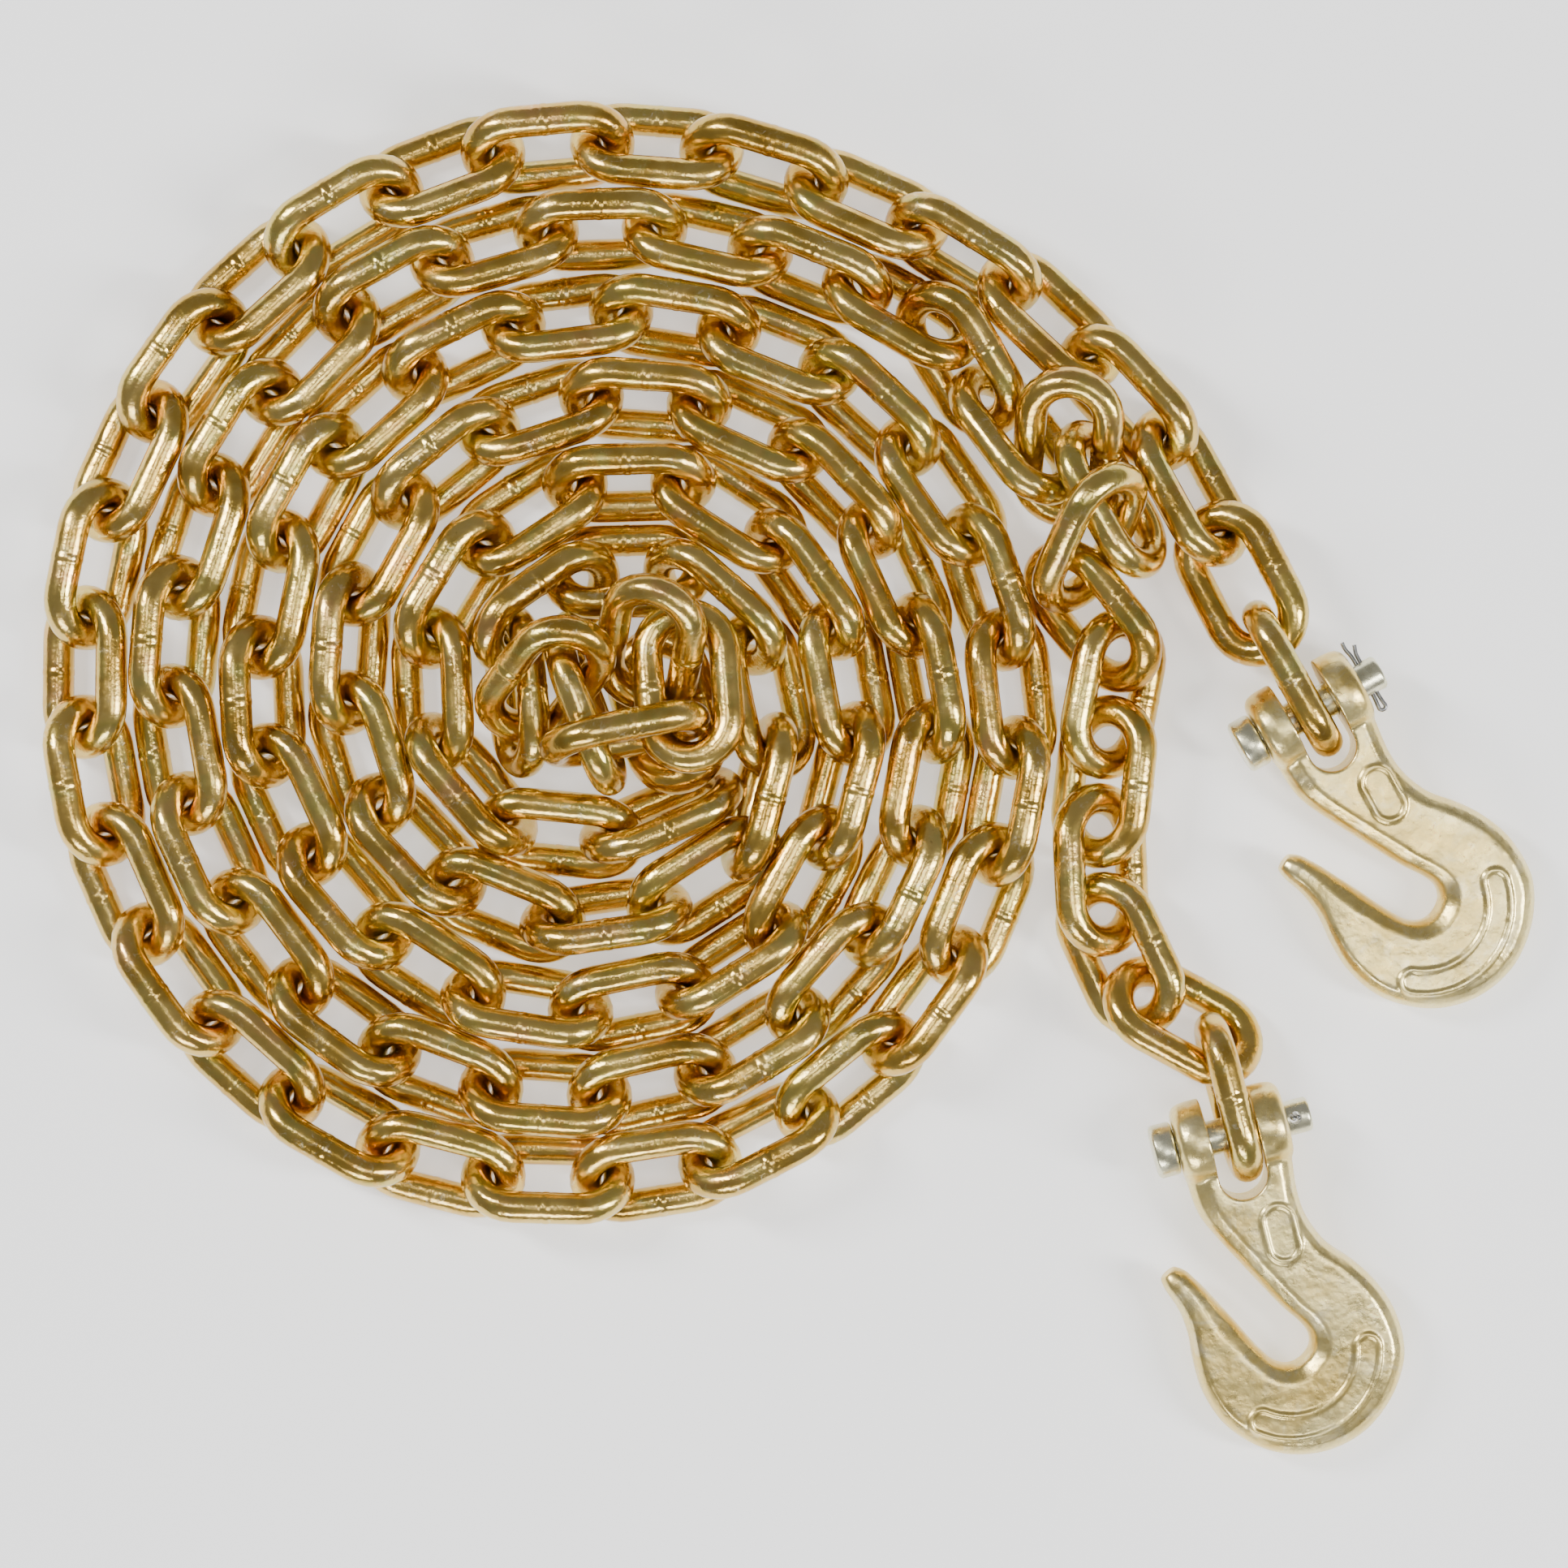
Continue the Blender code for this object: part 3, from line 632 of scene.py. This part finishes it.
def combined(name, base, steps, softening=0):
    """Joins and cuts the base with each mesh in turn.

    If softened, its skin is then remade in even cells and each point is moved half the way to the
    middle of its neighbours, that many times.
    """
    scene = bpy.context.scene.collection
    body = bpy.data.objects.new("body", base)
    scene.objects.link(body)
    helpers = []
    for label, mesh, operation in steps:
        other = bpy.data.objects.new(label, mesh)
        scene.objects.link(other)
        helpers.append(other)
        step = body.modifiers.new(label, "BOOLEAN")
        step.operation, step.solver, step.object = operation, "EXACT", other
    if softening:
        skin = body.modifiers.new("skin", "REMESH")
        skin.mode, skin.voxel_size, skin.use_smooth_shade = "VOXEL", FORGING_GRAIN, True
        soften = body.modifiers.new("soften", "SMOOTH")
        soften.factor, soften.iterations = 0.5, softening
    bpy.context.view_layer.update()
    graph = bpy.context.evaluated_depsgraph_get()
    mesh = bpy.data.meshes.new_from_object(body.evaluated_get(graph))
    mesh.name = name
    for extra in [body, *helpers]:
        bpy.data.objects.remove(extra)
    return mesh


def forged(name):
    """The whole hook in its own frame, with the edges softened as a forging's are."""
    edge = [(-EAR_FACE + back, radius) for back, radius in EAR_EDGE]
    edge += [(EAR_FACE - back, radius) for back, radius in EAR_EDGE[::-1]]
    ears = [("ears", turned(edge, ROUND_SIDES, "ears"), "UNION")]
    rough = combined(name + "_rough", blade(), ears, ROUGH_ROUNDS)
    hole = [(-PAST_PIN, HOLE_RADIUS), (PAST_PIN, HOLE_RADIUS)]
    steps = [
        ("slot", drawn(slot_outline(), -PAST_FACE, PAST_FACE, "slot"), "DIFFERENCE"),
        ("hole", turned(hole, HOLE_SIDES, "hole"), "DIFFERENCE"),
    ]
    top = BODY_HALF + PAD_HEIGHT
    sunk = BODY_HALF + PAD_HEIGHT * PAD_FLOOR
    for label, pad_outline in (("short", short_pad_outline), ("curved", curved_pad_outline)):
        pad = drawn(pad_outline(0), PAD_ROOT, top, label + "_pad")
        well = drawn(pad_outline(PAD_RIM), sunk, PAST_FACE, label + "_well")
        steps += [(label + "_pad", pad, "UNION"), (label + "_well", well, "DIFFERENCE")]
    return combined(name, rough, steps, FINE_ROUNDS)


def clevis_pin(name, cotter_turn):
    """A headed pin turned about its axis, cross-drilled near its end.

    The profile gives the place along the pin and the radius: the head's two rounded rims, the
    fillet under it, the shank and the chamfered end.
    """
    head = -EAR_FACE - 0.00035
    r, big = PIN_RADIUS, PIN_HEAD_RADIUS
    profile = [
        (head - PIN_HEAD, big - 0.0016),
        (head - PIN_HEAD + 0.0002, big - 0.0009),
        (head - PIN_HEAD + 0.0006, big - 0.0003),
        (head - PIN_HEAD + 0.0013, big),
        (head - 0.0010, big),
        (head - 0.0004, big - 0.0003),
        (head - 0.0001, big - 0.0009),
        (head, big - 0.0016),
        (head, r + 0.0002),
        (head + 0.0002, r),
        (PIN_END - 0.0012, r),
        (PIN_END - 0.0006, r - 0.0002),
        (PIN_END - 0.0001, r - 0.0007),
        (PIN_END, r - 0.0013),
    ]
    a = math.radians(cotter_turn)
    mesh = turned([(-PAST_PIN, COTTER_HOLE), (PAST_PIN, COTTER_HOLE)], DRILL_SIDES, "drill")
    points = np.empty(len(mesh.vertices) * 3, np.float64)
    mesh.vertices.foreach_get("co", points)
    along, p, q = points.reshape(-1, 3).T
    y, z = along * math.cos(a) - q * math.sin(a), along * math.sin(a) + q * math.cos(a)
    mesh.vertices.foreach_set("co", np.stack([COTTER_AT + p, y, z], 1).ravel())
    outwards(mesh)
    drill = [("drill", mesh, "DIFFERENCE")]
    made = combined(name, turned(profile, ROUND_SIDES, name), drill)
    made.polygons.foreach_set("use_smooth", np.ones(len(made.polygons), bool))
    made.set_sharp_from_angle(angle=math.radians(SHARP_FROM))
    return made


def split_pin(name, spread):
    """Flattened wire folded into an eye: its section carried along a smooth path through knots.

    The path comes up one leg, round the eye and down the other leg, whose ends part if spread.
    """
    gap = COTTER_WIRE * 1.06
    left = [(-0.0013, 0.0132), (-0.0014, 0.0108), (-gap, 0.0072), (-gap, 0.0)]
    right = [(gap, 0.0), (gap, 0.0070), (0.0010, 0.0088), (0.0017, 0.0108)]
    if not spread:
        left, right = [(-gap, 0.0072), (-gap, 0.0)], [(gap, 0.0), (gap, 0.0069)]
    turns = np.radians(np.arange(160, 381, 20))
    eye = np.stack([COTTER_EYE * np.cos(turns), -0.0098 + COTTER_EYE * np.sin(turns)], 1)
    knots = np.vstack([left, [[-gap, -0.0058]], eye, [[gap, -0.0058]], right])
    path = smooth_through(np.column_stack([knots, np.zeros(len(knots))]), COTTER_RINGS)
    path[:, 0] += COTTER_AT
    way = np.gradient(path, axis=0)
    way /= np.linalg.norm(way, axis=1)[:, None]
    out = np.stack([-way[:, 1], way[:, 0], np.zeros(len(way))], 1)
    turn = 2 * math.pi * np.arange(COTTER_SIDES) / COTTER_SIDES
    flat = np.clip(np.cos(turn), -0.9, 0.9)
    high = np.array([0, 0, 1.0])
    ring = flat[None, :, None] * out[:, None] + np.sin(turn)[None, :, None] * high
    return capped_grid(path[:, None] + COTTER_WIRE * ring, name)


def hook_pieces(forging, plated, wire):
    """Both hooks with their pins, each made in its own frame and then set in its place."""
    for letter, (x, y, z, heading, pitch, cotter_turn) in (("a", HOOK_A), ("b", HOOK_B)):
        centre = np.array([x, y, z]) + SHIFT
        mesh = forged(f"hook_{letter}_forging")
        place_mesh(mesh, about_z(heading) @ about_pin(pitch), centre)
        made = piece(f"hook_{letter}_forging", mesh, forging)
        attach(made, f"hook_{letter}")
        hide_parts(f"hook_{letter}")
        mesh = clevis_pin(f"clevis_pin_{letter}_turned", cotter_turn)
        place_mesh(mesh, about_z(heading), centre)
        made = piece(f"clevis_pin_{letter}_turned", mesh, plated)
        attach(made, f"clevis_pin_{letter}")
        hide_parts(f"clevis_pin_{letter}")
        mesh = split_pin(f"cotter_pin_{letter}_wire", letter == "a")
        place_mesh(mesh, about_z(heading) @ about_pin(cotter_turn), centre)
        made = piece(f"cotter_pin_{letter}_wire", mesh, wire)
        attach(made, f"clevis_pin_{letter}")
        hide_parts(f"cotter_pin_{letter}")


# ---------------------------------------------------------------- finishes


class Nodes:
    """Short calls for building a finish out of shader nodes."""

    def __init__(self, name):
        self.material = bpy.data.materials.new(name)
        self.material.use_nodes = True
        self.tree = self.material.node_tree
        self.shader = self.tree.nodes["Principled BSDF"]
        self.place = self.tree.nodes.new("ShaderNodeTexCoord").outputs["Object"]

    def link(self, a, b):
        """Joins an output to an input."""
        self.tree.links.new(a, b)

    def noise(self, scale, detail=4.0, rough=0.55, stretch=None, twist=0.0):
        """Soft cloudy noise, from 0 to 1 and about 0.5 in the middle."""
        made = self.tree.nodes.new("ShaderNodeTexNoise")
        made.inputs["Scale"].default_value = scale
        made.inputs["Detail"].default_value = detail
        made.inputs["Roughness"].default_value = rough
        made.inputs["Distortion"].default_value = twist
        source = self.place
        if stretch:
            turn = self.tree.nodes.new("ShaderNodeMapping")
            turn.inputs["Scale"].default_value = stretch
            self.link(source, turn.inputs["Vector"])
            source = turn.outputs["Vector"]
        self.link(source, made.inputs["Vector"])
        return made.outputs["Fac"]

    def spots(self, scale):
        """The distance from scattered points, in cells."""
        made = self.tree.nodes.new("ShaderNodeTexVoronoi")
        made.inputs["Scale"].default_value = scale
        self.link(self.place, made.inputs["Vector"])
        return made.outputs["Distance"]

    def ramp(self, value, stops):
        """A colour read off between stops of place and colour."""
        made = self.tree.nodes.new("ShaderNodeValToRGB")
        band = made.color_ramp
        while len(band.elements) < len(stops):
            band.elements.new(0.5)
        for element, (at, colour) in zip(band.elements, stops):
            element.position = at
            element.color = (*colour, 1.0)
        self.link(value, made.inputs["Fac"])
        return made.outputs["Color"]

    def span(self, value, low, high, to_low=0.0, to_high=1.0):
        """A value carried from one range to another and held at its ends."""
        made = self.tree.nodes.new("ShaderNodeMapRange")
        for key, number in zip(
            ("From Min", "From Max", "To Min", "To Max"), (low, high, to_low, to_high)
        ):
            made.inputs[key].default_value = number
        self.link(value, made.inputs["Value"])
        return made.outputs["Result"]

    def blend(self, amount, one, two, kind="MIX"):
        """One colour with another laid over it by the amount."""
        made = self.tree.nodes.new("ShaderNodeMix")
        made.data_type, made.blend_type = "RGBA", kind
        if isinstance(amount, float):
            made.inputs[0].default_value = amount
        else:
            self.link(amount, made.inputs[0])
        for socket, value in ((made.inputs[6], one), (made.inputs[7], two)):
            if isinstance(value, tuple):
                socket.default_value = (*value, 1.0)
            else:
                self.link(value, socket)
        return made.outputs[2]

    def maths(self, kind, a, b):
        """Two values put together by one operation."""
        made = self.tree.nodes.new("ShaderNodeMath")
        made.operation = kind
        for socket, value in zip(made.inputs, (a, b)):
            if isinstance(value, (int, float)):
                socket.default_value = value
            else:
                self.link(value, socket)
        return made.outputs[0]

    def tone(self, name):
        """A number that the mesh carries at its points."""
        made = self.tree.nodes.new("ShaderNodeAttribute")
        made.attribute_name = name
        return made.outputs["Fac"]

    def bump(self, height, distance, strength, under=None):
        """A fine relief, over another one if given."""
        made = self.tree.nodes.new("ShaderNodeBump")
        made.inputs["Distance"].default_value = distance
        made.inputs["Strength"].default_value = strength
        self.link(height, made.inputs["Height"])
        if under is not None:
            self.link(under, made.inputs["Normal"])
        return made.outputs["Normal"]

    def finish(self, colour, rough, normal):
        """Ties the layers to the metal's shader."""
        self.link(colour, self.shader.inputs["Base Color"])
        self.link(rough, self.shader.inputs["Roughness"])
        self.link(normal, self.shader.inputs["Normal"])
        self.shader.inputs["Metallic"].default_value = 1.0
        return self.material


def chain_zinc():
    """Yellow chromate over bright zinc: amber gold, drifts of green and rose, scuffs and specks."""
    n = Nodes("chain_yellow_zinc")
    drift = n.noise(38, 3, 0.5, twist=0.6)
    gold = n.ramp(
        drift,
        [
            (0.28, (0.50, 0.29, 0.050)),
            (0.42, (0.64, 0.42, 0.100)),
            (0.54, (0.77, 0.55, 0.17)),
            (0.68, (0.66, 0.52, 0.14)),
            (0.82, (0.80, 0.60, 0.24)),
        ],
    )
    tint = n.ramp(
        n.tone("tone"), [(0.0, (0.93, 0.90, 0.84)), (0.5, (1, 1, 1)), (1.0, (1.0, 0.93, 0.80))]
    )
    gold = n.blend(1.0, gold, tint, "MULTIPLY")
    green = n.span(n.noise(70, 4, 0.6, twist=0.4), 0.54, 0.72, 0.0, 0.55)
    gold = n.blend(green, gold, (0.50, 0.52, 0.16))
    rose = n.span(n.noise(55, 3, 0.6, stretch=(1.0, 1.3, 0.8)), 0.58, 0.76, 0.0, 0.5)
    gold = n.blend(rose, gold, (0.85, 0.42, 0.20))
    scuffs = n.span(n.noise(420, 6, 0.72, twist=0.8), 0.54, 0.70, 0.0, 0.65)
    where = n.span(n.noise(90, 3, 0.5), 0.46, 0.62)
    scuffs = n.maths("MULTIPLY", scuffs, where)
    gold = n.blend(scuffs, gold, (0.93, 0.86, 0.64))
    specks = n.span(n.noise(650, 5, 0.7), 0.66, 0.74, 0.0, 0.7)
    gold = n.blend(specks, gold, (0.26, 0.11, 0.02))
    rough = n.span(n.noise(120, 5, 0.6), 0.3, 0.75, 0.13, 0.30)
    rough = n.maths("ADD", rough, n.maths("MULTIPLY", scuffs, 0.15))
    normal = n.bump(n.noise(230, 4, 0.55), 0.0005, 0.5)
    normal = n.bump(n.noise(1500, 4, 0.6), 0.00008, 0.25, normal)
    return n.finish(gold, rough, normal)


def hook_zinc():
    """Pale zinc on a rough forging: champagne with straw patches and the small pits of the die."""
    n = Nodes("hook_pale_zinc")
    drift = n.noise(30, 4, 0.6, twist=0.5)
    pale = n.ramp(
        drift,
        [
            (0.30, (0.76, 0.54, 0.15)),
            (0.44, (0.84, 0.65, 0.23)),
            (0.56, (0.90, 0.75, 0.34)),
            (0.72, (0.84, 0.71, 0.27)),
        ],
    )
    grain = n.span(n.noise(900, 6, 0.7), 0.42, 0.72, 0.0, 0.55)
    pale = n.blend(grain, pale, (0.66, 0.50, 0.20))
    worn = n.span(n.noise(130, 5, 0.65, twist=0.6), 0.52, 0.78, 0.0, 0.6)
    pale = n.blend(worn, pale, (0.95, 0.87, 0.62))
    rough = n.span(n.noise(180, 4, 0.6), 0.3, 0.72, 0.24, 0.36)
    pits = n.span(n.spots(620), 0.0, 0.35)
    normal = n.bump(pits, 0.0001, 0.18)
    normal = n.bump(n.noise(480, 3, 0.6), 0.00016, 0.45, normal)
    normal = n.bump(n.noise(75, 3, 0.5), 0.0016, 0.45, normal)
    return n.finish(pale, rough, normal)


def pin_zinc():
    """Bright zinc with a faint yellow, dark specks and a fine grain."""
    n = Nodes("pin_bright_zinc")
    silver = n.ramp(
        n.noise(120, 4, 0.6),
        [(0.3, (0.66, 0.62, 0.40)), (0.55, (0.82, 0.79, 0.58)), (0.75, (0.88, 0.85, 0.68))],
    )
    dark = n.span(n.noise(500, 5, 0.7), 0.62, 0.75, 0.0, 0.6)
    silver = n.blend(dark, silver, (0.45, 0.42, 0.32))
    rough = n.span(n.noise(300, 5, 0.6), 0.3, 0.75, 0.2, 0.36)
    normal = n.bump(n.noise(700, 5, 0.6), 0.00015, 0.4)
    return n.finish(silver, rough, normal)


def wire_steel():
    """Drawn steel wire, mid grey with a fine grain."""
    n = Nodes("split_pin_steel")
    grey = n.ramp(n.noise(400, 4, 0.6), [(0.35, (0.26, 0.26, 0.26)), (0.65, (0.44, 0.44, 0.43))])
    rough = n.span(n.noise(600, 4, 0.6), 0.3, 0.7, 0.25, 0.4)
    normal = n.bump(n.noise(1200, 4, 0.6), 0.00006, 0.3)
    return n.finish(grey, rough, normal)


# ---------------------------------------------------------------- floor, light and camera


def floor():
    """One wide flat face just under the chain, pale and faintly lit from within."""
    mesh = bpy.data.meshes.new("floor")
    sides = ((-1, -1), (1, -1), (1, 1), (-1, 1))
    corners = [(FLOOR_REACH * i, FLOOR_REACH * j, FLOOR_DROP) for i, j in sides]
    mesh.from_pydata(corners, [], [(0, 1, 2, 3)])
    n = Nodes("floor_white")
    shade = n.ramp(n.noise(2, 2, 0.5), [(0.4, (0.90, 0.90, 0.90)), (0.6, (0.92, 0.92, 0.92))])
    rough = n.span(n.noise(3, 2, 0.5), 0.0, 1.0, 0.8, 0.9)
    n.link(shade, n.shader.inputs["Base Color"])
    n.link(rough, n.shader.inputs["Roughness"])
    n.shader.inputs["Emission Color"].default_value = (1, 1, 1, 1)
    n.shader.inputs["Emission Strength"].default_value = FLOOR_GLOW
    made = piece("floor", mesh, n.material)


def softbox(name, size, at, power):
    """A soft rectangular light that faces the chain's middle."""
    data = bpy.data.lights.new(name, "AREA")
    data.shape, data.size, data.size_y = "RECTANGLE", size[0], size[1]
    data.energy = power
    made = bpy.data.objects.new(name, data)
    bpy.context.scene.collection.objects.link(made)
    made.location = at
    way = -np.array(at, float)
    made.rotation_mode = "QUATERNION"
    made.rotation_quaternion = Vector(way).to_track_quat("-Z", "Y")


def lights():
    """An even pale room, with the soft boxes round and over the chain."""
    world = bpy.data.worlds.new("studio")
    bpy.context.scene.world = world
    world.use_nodes = True
    back = world.node_tree.nodes["Background"]
    back.inputs["Color"].default_value = (1, 1, 1, 1)
    back.inputs["Strength"].default_value = ROOM_LIGHT
    for name, size, at, power in SOFTBOXES:
        softbox(name, size, at, power)


def camera():
    """Looks straight down, with a lens that takes in the seen width at the chain's mid height."""
    data = bpy.data.cameras.new("above")
    made = bpy.data.objects.new("above", data)
    bpy.context.scene.collection.objects.link(made)
    data.sensor_width = SENSOR_MM
    data.lens = SENSOR_MM * (CAMERA_AT[2] - SEEN_HEIGHT) / SEEN_WIDTH
    made.location = CAMERA_AT
    data.clip_start, data.clip_end = CLIPPING
    bpy.context.scene.camera = made


def main():
    """Makes the scene."""
    camera()
    lights()
    floor()
    chain_pieces(chain_zinc())
    hook_pieces(hook_zinc(), pin_zinc(), wire_steel())


main()
